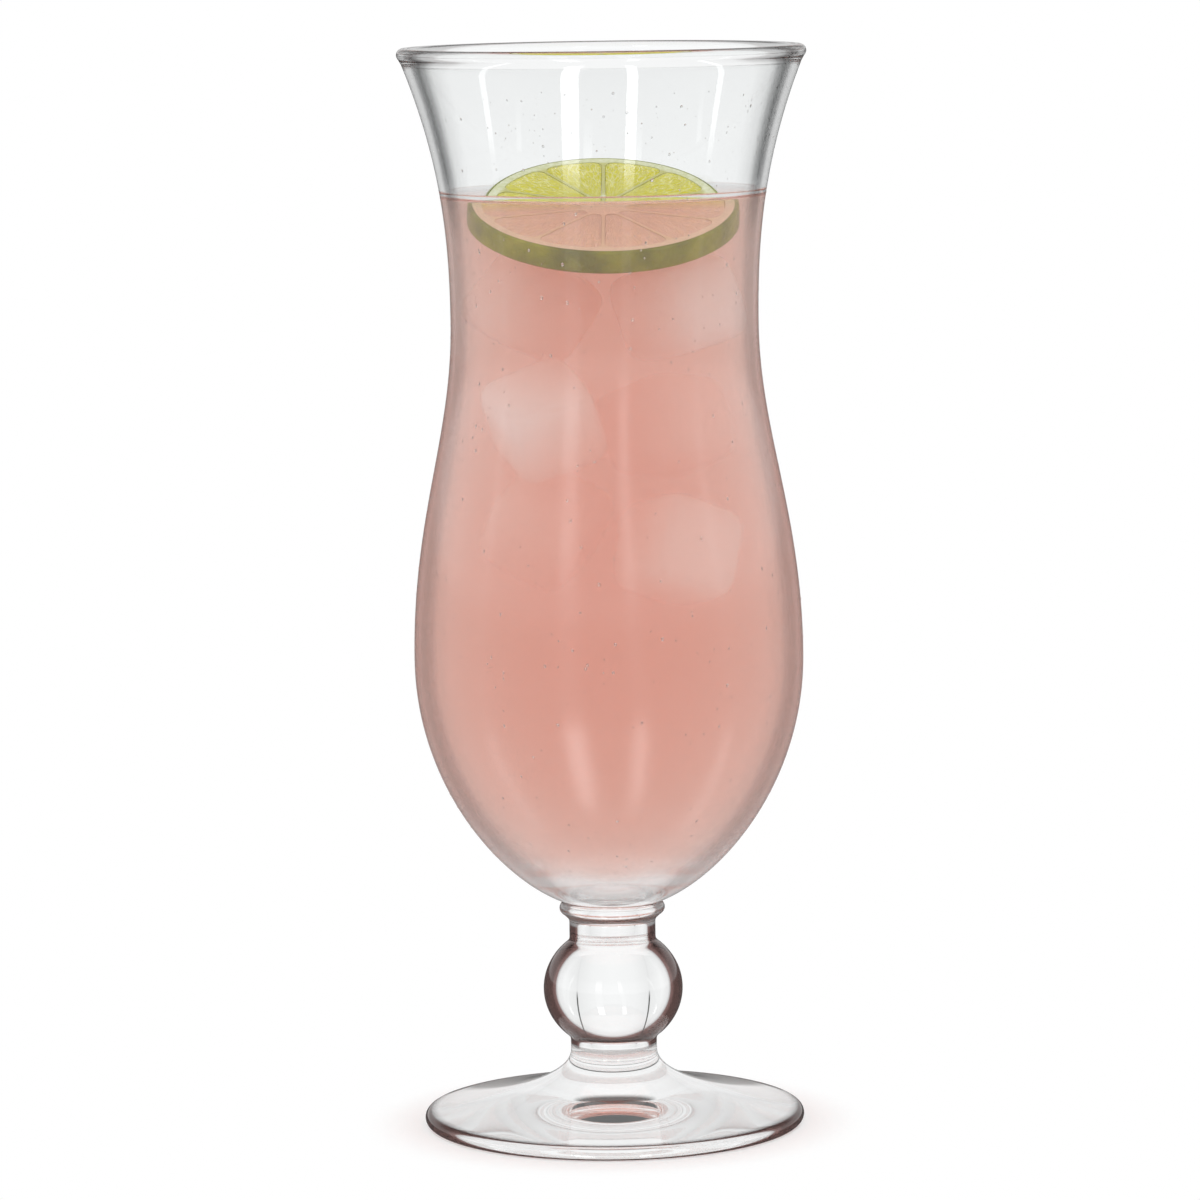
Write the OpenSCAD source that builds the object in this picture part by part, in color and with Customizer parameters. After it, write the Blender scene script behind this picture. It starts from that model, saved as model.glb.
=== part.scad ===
// Hurricane glass on a ball stem, holding an iced pink drink with a lime wheel afloat in it.
// The origin is the centre of the foot's underside and Z points up.
// The glass is built up from the foot, and what floats is placed from the drink's surface.

/* [Foot] */
// Diameter of the foot
foot_d = 72.9; // [68:0.1:78]
// Thickness of the foot at its edge
foot_edge_h = 2.7; // [2.3:0.1:3.2]
// Width over which the edge is rounded
foot_edge_w = 1.3; // [1:0.1:1.6]
// Height at which the foot has drawn in to the stem
foot_h = 14.2; // [12:0.1:16]
// Width of the flat ring that the foot stands on
foot_rest_w = 5; // [3:0.5:8]
// Depth of the hollow inside that ring
foot_hollow_h = 1.2; // [0.5:0.1:1.8]

/* [Stem] */
// Diameter of the plain stem under and over the ball
stem_d = 16.5; // [15:0.1:18]
// Height of the plain stem under the ball
lower_neck_h = 2.5; // [2:0.1:6]
// Height of the plain stem over the ball
upper_neck_h = 3.1; // [2:0.1:6]
// Diameter of the ball
ball_d = 26.7; // [24:0.1:30]
// Height of the ball's whole ellipse, of which the necks hide the ends
ball_h = 23.8; // [21:0.1:27]
// Height of the small fillet between ball and neck
ball_fillet_h = 1.1; // [0.5:0.1:1.6]

/* [Collar] */
// Diameter of the collar under the bowl
collar_d = 20.2; // [19.6:0.1:24]
// Height of the collar
collar_h = 4.7; // [4:0.1:6]
// Height of its rounded edge
collar_edge_h = 2.4; // [1.6:0.1:2.8]

/* [Bowl] */
// Height of the bowl, from the collar to the top of the lip
bowl_h = 162.9; // [158:0.1:170]
// Diameter across the lip
mouth_d = 77.2; // [72:0.1:84]
// Thickness of the rounded lip
lip_t = 2.5; // [2.2:0.1:3]
// How far the flare of the mouth leans out, as a slope
mouth_slope_share = 0.394; // [0.3:0.01:0.5]
// Diameter at the waist
waist_d = 58.3; // [57:0.1:64]
// Height of the waist over the collar
waist_h = 111; // [106:0.5:116]
// Diameter at the belly
belly_d = 74.1; // [70:0.1:80]
// Height of the belly over the collar
belly_h = 47; // [43:0.5:52]
// Diameter at which the bowl sits on the collar
base_d = 19.3; // [17:0.1:19.5]
// Thickness of the bowl's wall
wall_t = 1.9; // [1.4:0.1:2.2]
// Thickness of the bowl's floor over the collar
floor_t = 4.4; // [3.5:0.1:6]

/* [Drink] */
// Height of the drink's flat surface over the collar
fill_h = 134.7; // [130:0.5:140]
// Height that the drink climbs at the wall
meniscus_h = 1.5; // [0.8:0.1:2]
// Width of that climb
meniscus_w = 2.6; // [2:0.1:3.5]

/* [Ice] */
// Clearance that the ice keeps from the wall at the waist
ice_wall_gap = 1.4; // [0.8:0.1:3]
// Edge of an ice cube, in shares of the clear width that this leaves at the waist
ice_edge_share = 0.358; // [0.31:0.001:0.36]
// Reach of a cube's rounded corners from its middle, in edges
ice_corner_share = 0.67; // [0.6:0.01:0.68]

/* [Lime wheel] */
// Diameter of the lime
lime_d = 46; // [42:0.5:48]
// Thickness of the wheel
lime_t = 4.5; // [3.5:0.1:5]
// Thickness of the green zest
zest_t = 0.8; // [0.5:0.1:1.2]
// Thickness of the white pith under the zest
pith_t = 1.6; // [1:0.1:2.4]
// Thickness of the skin between two segments
skin_t = 0.6; // [0.4:0.1:1]
// Rounding of a segment's two outer corners
segment_corner_r = 2; // [1:0.1:2.6]
// Rounding of a segment's inner tip
segment_tip_r = 1.2; // [0.8:0.1:1.6]
// Tilt of the wheel, back edge up
lime_tilt = 20; // [14:1:24]
// Sideways tilt, right edge down
lime_roll = 1.2; // [0:0.1:3]
// Depth of the wheel's middle under the drink's surface
lime_dip = 3.4; // [2.4:0.1:3.8]

/* [Fits] */
// Gap between the drink and the glass
drink_gap = 0.05; // [0.02:0.01:0.1]
// Gap between the drink and what floats in it
float_gap = 0.3; // [0.2:0.05:0.4]
// Gap between a lime segment and its pocket
segment_gap = 0.05; // [0.03:0.01:0.1]

/* [Hidden] */
ICE_CUBES = 6;
SEGMENTS = 10;
$fn = 96;

// Steps along one stretch of an outline, and along a small rounding
curve_steps = 14;
round_steps = 6;

// How much further than a piece every cut through it reaches
overrun = 1;

// Radii
foot_r = foot_d / 2;
stem_r = stem_d / 2;
ball_r = ball_d / 2;
collar_r = collar_d / 2;
base_r = base_d / 2;
belly_r = belly_d / 2;
waist_r = waist_d / 2;
lip_r = lip_t / 2;
lime_r = lime_d / 2;

// Heights over the table, from the foot up
ball_half_h = ball_h / 2;
ball_reach_h = ball_half_h * sqrt(1 - pow(stem_r / ball_r, 2));
ball_z = foot_h + lower_neck_h + ball_reach_h;
collar_z = ball_z + ball_reach_h + upper_neck_h;
bowl_z = collar_z + collar_h;
belly_z = bowl_z + belly_h;
waist_z = bowl_z + waist_h;
floor_z = bowl_z + floor_t;
lip_z = bowl_z + bowl_h - lip_r;
fill_z = bowl_z + fill_h;

// Point at the share t of a Bezier curve through a and d, pulled towards b and c
function bezier(a, b, c, d, t) =
    pow(1 - t, 3) * a + 3 * pow(1 - t, 2) * t * b + 3 * (1 - t) * t * t * c + pow(t, 3) * d;

// Points of that curve after its first one
function curve(a, b, c, d) = [for (i = [1 : curve_steps]) bezier(a, b, c, d, i / curve_steps)];

// Points of an arc, or of an ellipse's arc, from one angle to another
function arc(middle, rx, ry, from, to, steps = round_steps) =
    [for (i = [0 : steps]) let (a = from + (to - from) * i / steps) middle + [rx * cos(a), ry * sin(a)]];

function reversed(points) = [for (i = [len(points) - 1 : -1 : 0]) points[i]];

// The foot: pull of the top's curve outwards and upwards, and of its end down the stem
foot_pull_shares = [0.36, 0.25];
foot_draw_share = 0.43;
// Pulls of the hollow under the foot, in shares of its radius
foot_hollow_shares = [0.5, 0.75];
// The foot's rounded edge ends just short of its highest point
foot_edge_angle = 80;

function foot_outline() =
    let (
        edge = [foot_r - foot_edge_w, foot_edge_h / 2],
        rest_r = edge.x - foot_rest_w,
        rim = edge + [0, foot_edge_h / 2],
        rise = foot_h - foot_edge_h,
        pull = [stem_r + foot_pull_shares[0] * (rim.x - stem_r), foot_edge_h + foot_pull_shares[1] * rise],
        top = [stem_r, foot_h]
    )
    concat(
        [[0, foot_hollow_h]],
        curve(
            [0, foot_hollow_h],
            [foot_hollow_shares[0] * rest_r, foot_hollow_h],
            [foot_hollow_shares[1] * rest_r, 0],
            [rest_r, 0]
        ),
        arc(edge, foot_edge_w, foot_edge_h / 2, -90, foot_edge_angle),
        curve(rim, pull, top - [0, foot_draw_share * rise], top),
        [[0, foot_h]]
    );

// The ball: how far round it each fillet reaches, in degrees past the neck
ball_fillet_angle = 7;

function stem_outline() =
    let (
        neck_angle = asin(ball_reach_h / ball_half_h),
        bare_angle = neck_angle - ball_fillet_angle,
        middle = [0, ball_z],
        ball = arc(middle, ball_r, ball_half_h, -bare_angle, bare_angle, 2 * curve_steps),
        low = [stem_r, ball_z - ball_reach_h],
        high = [stem_r, ball_z + ball_reach_h],
        down = [0, -ball_fillet_h],
        lower_fillet = curve(low + down, low, low, ball[0]),
        upper_fillet = curve(high - down, high, high, ball[len(ball) - 1])
    )
    concat(
        [[0, foot_h], [stem_r, foot_h], low + down],
        lower_fillet,
        [for (i = [1 : len(ball) - 2]) ball[i]],
        reversed(upper_fillet),
        [high - down, [stem_r, collar_z], [0, collar_z]]
    );

// The collar: height of its edge's middle, and the angles at which its rounded edge starts and ends
collar_edge_share = 0.68;
collar_edge_angles = [-60, 50];

function collar_outline() =
    let (
        edge_r = collar_edge_h / 2,
        edge = [collar_r - edge_r, collar_z + collar_edge_share * collar_h],
        round_edge = arc(edge, edge_r, edge_r, collar_edge_angles[0], collar_edge_angles[1]),
        start = [stem_r, collar_z],
        hollow = [stem_r, (collar_z + round_edge[0].y) / 2]
    )
    concat(
        [[0, collar_z], start],
        curve(start, hollow, hollow, round_edge[0]),
        [for (i = [1 : round_steps]) round_edge[i]],
        [[base_r, bowl_z], [0, bowl_z]]
    );

// The bowl: pulls of its outline at each station, in shares of the height to the next one
base_pull_share = 0.43;
base_slope_share = 0.389;
belly_pull_shares = [0.517, 0.43];
waist_pull_shares = [0.3375, 0.299];
mouth_pull_share = 0.392;
// Pulls of the inner floor, in shares of the belly's radius and of its height over the floor
floor_pull_shares = [0.54, 0.54];
// Where the outer wall runs into the lip, from the lip's middle, in shares of the lip's radius
lip_foot_shares = [0.29, -1.44];
// Angles at which the lip's rounding starts outside and ends inside
lip_angles = [-45, 200];

lip_middle = [mouth_d / 2 - lip_r, lip_z];
mouth_out = lip_middle + lip_r * lip_foot_shares;

// Wall from the belly up past the waist to the mouth, thinned by the given amount
function upper_wall(thinned) =
    let (
        leaning = thinned * sqrt(1 + pow(mouth_slope_share, 2)),
        belly = [belly_r - thinned, belly_z],
        waist = [waist_r - thinned, waist_z],
        mouth = mouth_out - [leaning, 0],
        low_h = waist_z - belly_z,
        high_h = mouth_out.y - waist_z,
        mouth_pull = mouth_pull_share * high_h
    )
    concat(
        curve(
            belly,
            belly + [0, belly_pull_shares[1] * low_h],
            waist - [0, waist_pull_shares[0] * low_h],
            waist
        ),
        curve(
            waist,
            waist + [0, waist_pull_shares[1] * high_h],
            mouth - mouth_pull * [mouth_slope_share, 1],
            mouth
        )
    );

// Outside of the bowl, from the collar up to the lip
function bowl_outside() =
    let (
        base = [base_r, bowl_z],
        belly = [belly_r, belly_z],
        base_pull = base_pull_share * (belly_r - base_r),
        belly_pull = belly_pull_shares[0] * belly_h
    )
    concat(
        [base],
        curve(base, base + base_pull * [1, base_slope_share], belly - [0, belly_pull], belly),
        upper_wall(0)
    );

// Inside of the bowl, from the middle of its floor up to the lip
function bowl_inside() =
    let (
        low = [0, floor_z],
        belly = [belly_r - wall_t, belly_z],
        floor_pull = floor_pull_shares[0] * belly.x,
        belly_pull = floor_pull_shares[1] * (belly_z - floor_z)
    )
    concat(
        [low],
        curve(low, low + [floor_pull, 0], belly - [0, belly_pull], belly),
        upper_wall(wall_t)
    );

function bowl_outline() = concat(
    [[0, bowl_z]],
    bowl_outside(),
    arc(lip_middle, lip_r, lip_r, lip_angles[0], lip_angles[1], 2 * round_steps),
    reversed(bowl_inside())
);

// Radius of the bowl's inside at a height
function inside_r(z) = lookup(z, [for (p = bowl_inside()) [p.y, p.x]]);

// Outline of the drink: it fills the bowl up to its surface and climbs a little at the wall
function drink_outline() =
    let (
        edge_z = fill_z + meniscus_h,
        edge_r = inside_r(edge_z) - drink_gap,
        below = [for (p = bowl_inside()) if (p.y < edge_z - meniscus_h / 2) p],
        wetted = [for (p = below) [max(0, p.x - drink_gap), p.y + drink_gap]],
        climb = arc([edge_r - meniscus_w, edge_z], meniscus_w, meniscus_h, 0, -90)
    )
    concat(wetted, climb, [[0, fill_z]]);

// The ice fits between the walls at the waist, and floats under the middle of the lime's underside
ice_edge = ice_edge_share * (waist_d - 2 * wall_t - 2 * ice_wall_gap);
ice_top_z = fill_z - lime_dip - lime_t / 2 / cos(lime_tilt);

// Places of the cubes from there in edges, and turns about X, Y and Z
ice_place_shares = [
    [-0.63, 0.34, -0.807],
    [0.68, -0.12, -0.817],
    [-0.58, -0.42, -1.957],
    [0.54, 0.43, -2.107],
    [-0.56, 0.22, -3.107],
    [0.66, -0.32, -3.307]
];
ice_turns = [[12, 28, 20], [8, -14, -38], [30, -22, 12], [-24, 10, 52], [38, 30, -16], [-14, 20, 34]];

// The lime's segments
segment_angle = 360 / SEGMENTS;
flesh_r = lime_r - zest_t - pith_t;

// Outline of one segment along X, drawn in by a gap from its pocket
function segment_outline(gap) =
    let (
        half = segment_angle / 2,
        side = skin_t / 2 + gap,
        corner_r = segment_corner_r - gap,
        tip_r = segment_tip_r - gap,
        reach = flesh_r - gap - corner_r,
        lean = half - asin((side + corner_r) / reach),
        tip = [(side + tip_r) / sin(half), 0],
        corner = reach * [cos(lean), sin(lean)]
    )
    concat(
        arc([corner.x, -corner.y], corner_r, corner_r, -half - 90, -lean),
        arc([0, 0], flesh_r - gap, flesh_r - gap, -lean, lean),
        arc(corner, corner_r, corner_r, lean, half + 90),
        arc(tip, tip_r, tip_r, half + 90, 270 - half)
    );

// Puts a piece of the wheel, drawn flat about the origin, where the wheel floats
module afloat() {
    translate([0, 0, fill_z - lime_dip])
        rotate([lime_tilt, lime_roll, 0])
            children();
}

// A straight prism on an outline, centred on the wheel's middle plane
module slab(height) {
    translate([0, 0, -height / 2])
        linear_extrude(height)
            children();
}

// One partly melted cube, or with a gap the pocket that it floats in
module ice_shape(i, gap) {
    side = ice_edge + 2 * gap;
    translate([0, 0, ice_top_z] + ice_edge * ice_place_shares[i])
        rotate(ice_turns[i])
            intersection() {
                cube(side, center = true);
                sphere(r = ice_corner_share * ice_edge + gap);
            }
}

module foot() {
    color("azure")
        rotate_extrude()
            polygon(foot_outline());
}

module ball_stem() {
    color("azure")
        rotate_extrude()
            polygon(stem_outline());
}

module collar() {
    color("azure")
        rotate_extrude()
            polygon(collar_outline());
}

module bowl() {
    color("azure")
        rotate_extrude()
            polygon(bowl_outline());
}

module drink() {
    color("lightpink")
        difference() {
            rotate_extrude()
                polygon(drink_outline());
            for (i = [0 : ICE_CUBES - 1])
                ice_shape(i, float_gap);
            afloat()
                cylinder(h = lime_t + 2 * float_gap, r = lime_r + float_gap, center = true);
        }
}

module ice_cube(i) {
    color("aliceblue")
        ice_shape(i, 0);
}

// The zest is a slice of the round lime's skin
module lime_zest() {
    half_t = lime_t / 2;
    edge_angle = asin(half_t / lime_r);
    color("yellowgreen")
        afloat()
            difference() {
                rotate_extrude()
                    polygon(concat(
                        [[0, -half_t]],
                        arc([0, 0], lime_r, lime_r, -edge_angle, edge_angle),
                        [[0, half_t]]
                    ));
                cylinder(h = lime_t + 2 * overrun, r = lime_r - zest_t, center = true);
            }
}

// The pith: white ring, core and skins, with a pocket for each segment
module lime_pith() {
    color("ivory")
        afloat()
            difference() {
                cylinder(h = lime_t, r = lime_r - zest_t, center = true);
                for (i = [0 : SEGMENTS - 1])
                    rotate(i * segment_angle)
                        slab(lime_t + 2 * overrun)
                            polygon(segment_outline(0));
            }
}

module lime_segment(i) {
    color("palegreen")
        afloat()
            rotate(i * segment_angle)
                slab(lime_t)
                    polygon(segment_outline(segment_gap));
}

foot();
ball_stem();
collar();
bowl();
drink();
for (i = [1 : ICE_CUBES])
    ice_cube(i - 1);
lime_zest();
lime_pith();
for (i = [1 : SEGMENTS])
    lime_segment(i - 1);
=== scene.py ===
# %% [markdown]
# # A hurricane glass of iced pink drink, with a lime wheel
#
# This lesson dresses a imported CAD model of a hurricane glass. The CAD gives every size and every body that
# moves. Blender gives what the eye sees: clear pressed glass, a cloudy pink drink with ice in it, a cut
# lime, and the fine dew that a cold drink draws out of the air.
#
# Nothing here is unwrapped or painted by hand. Each shape is a formula worked out on a numpy grid, and
# each finish is a small graph of shader nodes.

import math

import bpy
import numpy as np
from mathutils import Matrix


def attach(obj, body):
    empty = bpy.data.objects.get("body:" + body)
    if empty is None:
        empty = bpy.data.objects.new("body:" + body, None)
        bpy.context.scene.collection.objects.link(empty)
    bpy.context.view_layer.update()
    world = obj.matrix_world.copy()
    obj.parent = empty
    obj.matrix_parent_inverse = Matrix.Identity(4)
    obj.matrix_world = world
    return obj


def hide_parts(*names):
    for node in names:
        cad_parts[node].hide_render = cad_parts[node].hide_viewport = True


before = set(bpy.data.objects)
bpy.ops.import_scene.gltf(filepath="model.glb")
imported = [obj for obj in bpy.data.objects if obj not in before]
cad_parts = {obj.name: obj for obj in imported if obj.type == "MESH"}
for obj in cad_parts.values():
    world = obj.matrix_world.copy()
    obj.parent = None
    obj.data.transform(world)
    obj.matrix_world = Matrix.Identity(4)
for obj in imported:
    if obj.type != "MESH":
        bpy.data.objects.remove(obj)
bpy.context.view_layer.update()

# %% [markdown]
# ## Sizes
#
# The real glass is about 206 mm tall. The sizes are written in millimetres, as a maker would note them,
# and turned to metres once, because the frame is in metres. The heights build on each other from the
# foot up, in the same order as the glass is made.

# %% Sizes of the glass, in metres
MM = 0.001
foot_r, foot_edge_h, foot_edge_w, foot_h = 36.45 * MM, 2.7 * MM, 1.3 * MM, 14.2 * MM
foot_rest_w, foot_hollow_h = 5 * MM, 1.2 * MM
stem_r, lower_neck_h, upper_neck_h = 8.25 * MM, 2.5 * MM, 3.1 * MM
ball_r, ball_half_h, ball_fillet_h = 13.35 * MM, 11.9 * MM, 1.1 * MM
collar_r, collar_h, collar_edge_r = 10.1 * MM, 4.7 * MM, 1.2 * MM
bowl_h, base_r, belly_r, belly_h = 162.9 * MM, 9.65 * MM, 37.05 * MM, 47 * MM
waist_r, waist_h, mouth_r, lip_r = 29.15 * MM, 111 * MM, 38.6 * MM, 1.25 * MM
mouth_slope, wall_t, floor_t = 0.394, 1.9 * MM, 4.4 * MM
fill_h, meniscus_h, meniscus_w = 134.7 * MM, 1.5 * MM, 2.6 * MM

ball_reach_h = ball_half_h * math.sqrt(1 - (stem_r / ball_r) ** 2)
ball_z = foot_h + lower_neck_h + ball_reach_h
collar_z = ball_z + ball_reach_h + upper_neck_h
bowl_z = collar_z + collar_h
belly_z, waist_z = bowl_z + belly_h, bowl_z + waist_h
floor_z, lip_z = bowl_z + floor_t, bowl_z + bowl_h - lip_r
fill_z = bowl_z + fill_h
print("drink's surface at", round(fill_z / MM, 2), "mm, lip at", round((lip_z + lip_r) / MM, 2), "mm")

# %% [markdown]
# ## Curves and skins
#
# A glass is turned round an axis, so its whole shape is one outline. The outline is a chain of Bezier
# curves and arcs. A skin then carries the outline round the axis. The same skin serves the drink, the
# lime's rind, the ice and the dew, because all of them are closed rings between two poles.


# %% Helpers for outlines and skins
def bezier(a, b, c, d, steps):
    """Points after a on the curve (1-t)^3 a + 3(1-t)^2 t b + 3(1-t) t^2 c + t^3 d, for t in steps."""
    t = (np.arange(1, steps + 1) / steps)[:, None]
    a, b, c, d = (np.asarray(p, float) for p in (a, b, c, d))
    return (1 - t) ** 3 * a + 3 * (1 - t) ** 2 * t * b + 3 * (1 - t) * t * t * c + t**3 * d


def arc(middle, rx, ry, start, end, steps):
    """Points of an ellipse round middle: x + rx cos(angle), y + ry sin(angle), angles in degrees."""
    angle = np.radians(np.linspace(start, end, steps + 1))
    return np.stack([middle[0] + rx * np.cos(angle), middle[1] + ry * np.sin(angle)], axis=-1)


def turned(outline, around):
    """Rings from an outline of (radius, height): x = radius cos(angle), y = radius sin(angle)."""
    angle = np.linspace(0, 2 * np.pi, around, endpoint=False)
    r, z = outline[:, 0, None], outline[:, 1, None]
    return np.stack([r * np.cos(angle), r * np.sin(angle), z + 0 * angle], axis=-1)


def skin(rings, start, end):
    """Closes rings into one skin: a quad between neighbours, and a fan from each pole to its ring."""
    count, around = rings.shape[:2]
    here = np.arange(around)
    beside = np.roll(here, -1)
    row = np.arange(count - 1)[:, None] * around
    quads = np.stack([row + here, row + beside, row + around + beside, row + around + here], axis=-1)
    pole = count * around
    last = (count - 1) * around
    fans = [
        np.stack([0 * here + pole, beside, here], axis=-1),
        np.stack([last + here, last + beside, 0 * here + pole + 1], axis=-1),
    ]
    points = np.vstack([rings.reshape(-1, 3), start, end])
    return points, quads.reshape(-1, 4), np.vstack(fans)


def piece(name, points, quads, triangles):
    """Puts a skin into a smooth mesh object at the origin. Its place is in its points."""
    mesh = bpy.data.meshes.new(name)
    corners = np.concatenate([quads.ravel(), triangles.ravel()])
    sizes = np.concatenate([np.full(len(quads), 4), np.full(len(triangles), 3)])
    mesh.vertices.add(len(points))
    mesh.vertices.foreach_set("co", np.ascontiguousarray(points, np.float32).ravel())
    mesh.loops.add(len(corners))
    mesh.loops.foreach_set("vertex_index", corners.astype(np.int32))
    mesh.polygons.add(len(sizes))
    mesh.polygons.foreach_set("loop_start", (np.cumsum(sizes) - sizes).astype(np.int32))
    mesh.polygons.foreach_set("use_smooth", np.ones(len(sizes), bool))
    mesh.update(calc_edges=True)
    mesh.validate()
    made = bpy.data.objects.new(name, mesh)
    bpy.context.scene.collection.objects.link(made)
    print(name, "has", len(points), "points and", len(sizes), "faces")
    return made


# %% [markdown]
# ## The clear glass
#
# The bowl, the collar, the ball stem and the foot are pressed or blown apart and fused while hot. After
# that no seam is left inside, so the eye sees one body of glass. It is drawn here as one closed skin: up
# the outside, over the lip, and down the inside. Two skins face to face would show a false mirror between
# them, which is why the four CAD solids share one piece. The plain shares in the formulas, such as 0.36,
# are the lengths of the curves' handles beside what the curves span.

# %% Outline of the foot
# How many steps the hollow, the foot's edge and the lip are drawn in, and how many points go round.
hollow_steps, edge_steps, lip_steps, glass_around = 22, 12, 24, 192


def foot_outline():
    """Hollow underside, flat ring, rounded edge, then a long Bezier that draws in to the stem."""
    edge = np.array([foot_r - foot_edge_w, foot_edge_h / 2])
    rest_r = edge[0] - foot_rest_w
    rim = edge + [0, foot_edge_h / 2]
    rise, span = foot_h - foot_edge_h, rim[0] - stem_r
    hollow = bezier(
        [0, foot_hollow_h], [0.5 * rest_r, foot_hollow_h], [0.75 * rest_r, 0], [rest_r, 0], hollow_steps
    )
    pull = [stem_r + 0.36 * span, foot_edge_h + 0.25 * rise]
    top = bezier(rim, pull, [stem_r, foot_h - 0.43 * rise], [stem_r, foot_h], 40)
    return [hollow, arc(edge, foot_edge_w, foot_edge_h / 2, -90, 80, edge_steps), top]


print("the foot has", sum(len(part) for part in foot_outline()), "rings")


# %% Outline of the stem and the collar
def stem_outline():
    """Neck, small fillet, ball as an ellipse's arc, fillet, neck."""
    bare = math.degrees(math.asin(ball_reach_h / ball_half_h)) - 7
    ball = arc([0, ball_z], ball_r, ball_half_h, -bare, bare, 48)
    low, high = np.array([stem_r, ball_z - ball_reach_h]), np.array([stem_r, ball_z + ball_reach_h])
    drop = np.array([0, -ball_fillet_h])
    lower = bezier(low + drop, low, low, ball[0], 8)
    upper = bezier(high - drop, high, high, ball[-1], 8)[::-1]
    return [[low + drop], lower, ball[1:-1], upper, [high - drop], [[stem_r, collar_z]]]


def collar_outline():
    """Hollow underside, then the rounded edge of the ring that the bowl sits on."""
    edge = [collar_r - collar_edge_r, collar_z + 0.68 * collar_h]
    ring = arc(edge, collar_edge_r, collar_edge_r, -60, 50, 12)
    bend = [stem_r, (collar_z + ring[0, 1]) / 2]
    return [bezier([stem_r, collar_z], bend, bend, ring[0], 10), ring[1:], [[base_r, bowl_z]]]


print("the ball's middle is at", round(ball_z / MM, 2), "mm")

# %% Outline of the bowl
lip = np.array([mouth_r - lip_r, lip_z])
mouth = lip + lip_r * np.array([0.29, -1.44])


def upper_wall(thinned):
    """From the belly past the waist to the mouth, drawn in by an amount."""
    low_h, high_h = waist_z - belly_z, mouth[1] - waist_z
    a = np.array([belly_r - thinned, belly_z])
    b = np.array([waist_r - thinned, waist_z])
    c = mouth - [thinned * math.hypot(1, mouth_slope), 0]
    lower = bezier(a, a + [0, 0.43 * low_h], b - [0, 0.3375 * low_h], b, 44)
    upper = bezier(b, b + [0, 0.299 * high_h], c - 0.392 * high_h * np.array([mouth_slope, 1]), c, 40)
    return np.vstack([lower, upper])


def bowl_outside():
    """From the collar round the belly, then the upper wall."""
    a, b = np.array([base_r, bowl_z]), np.array([belly_r, belly_z])
    out = 0.43 * (belly_r - base_r)
    lower = bezier(a, a + [out, 0.389 * out], b - [0, 0.517 * belly_h], b, 44)
    return np.vstack([lower, upper_wall(0)])


def bowl_inside():
    """From the middle of the floor round the belly, then the upper wall, a wall's thickness in."""
    a, b = np.array([0, floor_z]), np.array([belly_r - wall_t, belly_z])
    lower = bezier(a, a + [0.54 * b[0], 0], b - [0, 0.54 * (belly_z - floor_z)], b, 44)
    return np.vstack([lower, upper_wall(wall_t)])


print("the bowl is", round((lip_z + lip_r - floor_z) / MM, 2), "mm deep")

# %% The whole outline, turned
glass_outline = np.vstack(
    foot_outline()
    + stem_outline()
    + collar_outline()
    + [bowl_outside(), arc(lip, lip_r, lip_r, -45, 200, lip_steps), bowl_inside()[::-1]]
)
glass_body = piece(
    "glass_body", *skin(turned(glass_outline, glass_around), [0, 0, foot_hollow_h], [0, 0, floor_z])
)

# %% [markdown]
# Three numbers at each point of the skin tell the finish where it is. "mist" is the dew too fine to see
# bead by bead: thickest low on the belly, thin over the drink, none on the foot and inside. The second
# marks the outer wall of the bowl, strongest on the dry flare, and the third marks the solid parts: the
# stem, the collar, the foot's rounded edge and, weaker, the lip. These two say where the glass gets its
# painted dark outlines, which differ on thin and on solid glass. All three follow the outline of the
# glass, so they are worked out once for each ring of points and repeated round it.

# %% Numbers along the outline
foot_rings, stem_rings, collar_rings, wall_rings = (
    sum(len(part) for part in parts)
    for parts in (foot_outline(), stem_outline(), collar_outline(), [bowl_outside()])
)
first_collar = foot_rings + stem_rings
first_wall = first_collar + collar_rings
first_lip = first_wall + wall_rings
outer_lip = 3 * lip_steps // 4
rows = np.arange(len(glass_outline))
up_wall = (glass_outline[:, 1] - bowl_z) / (lip_z - bowl_z)
heights = [0.0, 0.03, 0.1, 0.2, 0.3, 0.42, 0.54, 0.66, 0.74, 0.84, 0.92]
dampness = [0.0, 0.7, 1.0, 1.0, 0.85, 0.7, 0.7, 0.55, 0.15, 0.12, 0.0]
on_wall = (rows >= first_wall) & (rows < first_lip)
on_wall_and_lip = (rows >= first_wall) & (rows < first_lip + outer_lip)
on_foot_edge = (rows >= hollow_steps) & (rows <= hollow_steps + edge_steps)
on_stem = (rows >= foot_rings) & (rows < first_collar)
on_collar = (rows >= first_collar) & (rows < first_wall)
on_lip = (rows >= first_lip) & (rows < first_lip + lip_steps)
ring_values = {
    "mist": on_wall * np.interp(up_wall, heights, dampness),
    # Masks for the painted dark outlines: one on the bowl's outer wall, one on the solid glass.
    "painted_line_thin": on_wall_and_lip * np.interp(up_wall, [0.0, 0.78, 0.86], [0.5, 0.5, 1.0]),
    "painted_line_solid": 1.0 * on_stem + 1.0 * on_foot_edge + 0.9 * on_collar + 0.55 * on_lip,
}
for name, ring in ring_values.items():
    layer = glass_body.data.attributes.new(name, "FLOAT", "POINT")
    values = np.append(np.repeat(ring, glass_around), [0, 0])
    layer.data.foreach_set("value", values.astype(np.float32))
    print(name, "is set on", int((ring > 0).sum()), "of", len(ring), "rings")

# %% [markdown]
# ## The drink
#
# The drink fills the bowl to 28 mm under the lip, and climbs a little at the wall, as every liquid does.
# Where liquid meets glass there is no air between them. A renderer only knows surfaces, so the drink's
# skin is sunk a tenth of a millimetre into the glass. A ray then enters one before it leaves the other,
# and bends by the right amount. A gap would silver the whole wall like a mirror.

# %% The drink's body
sunk = 0.1 * MM


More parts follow.
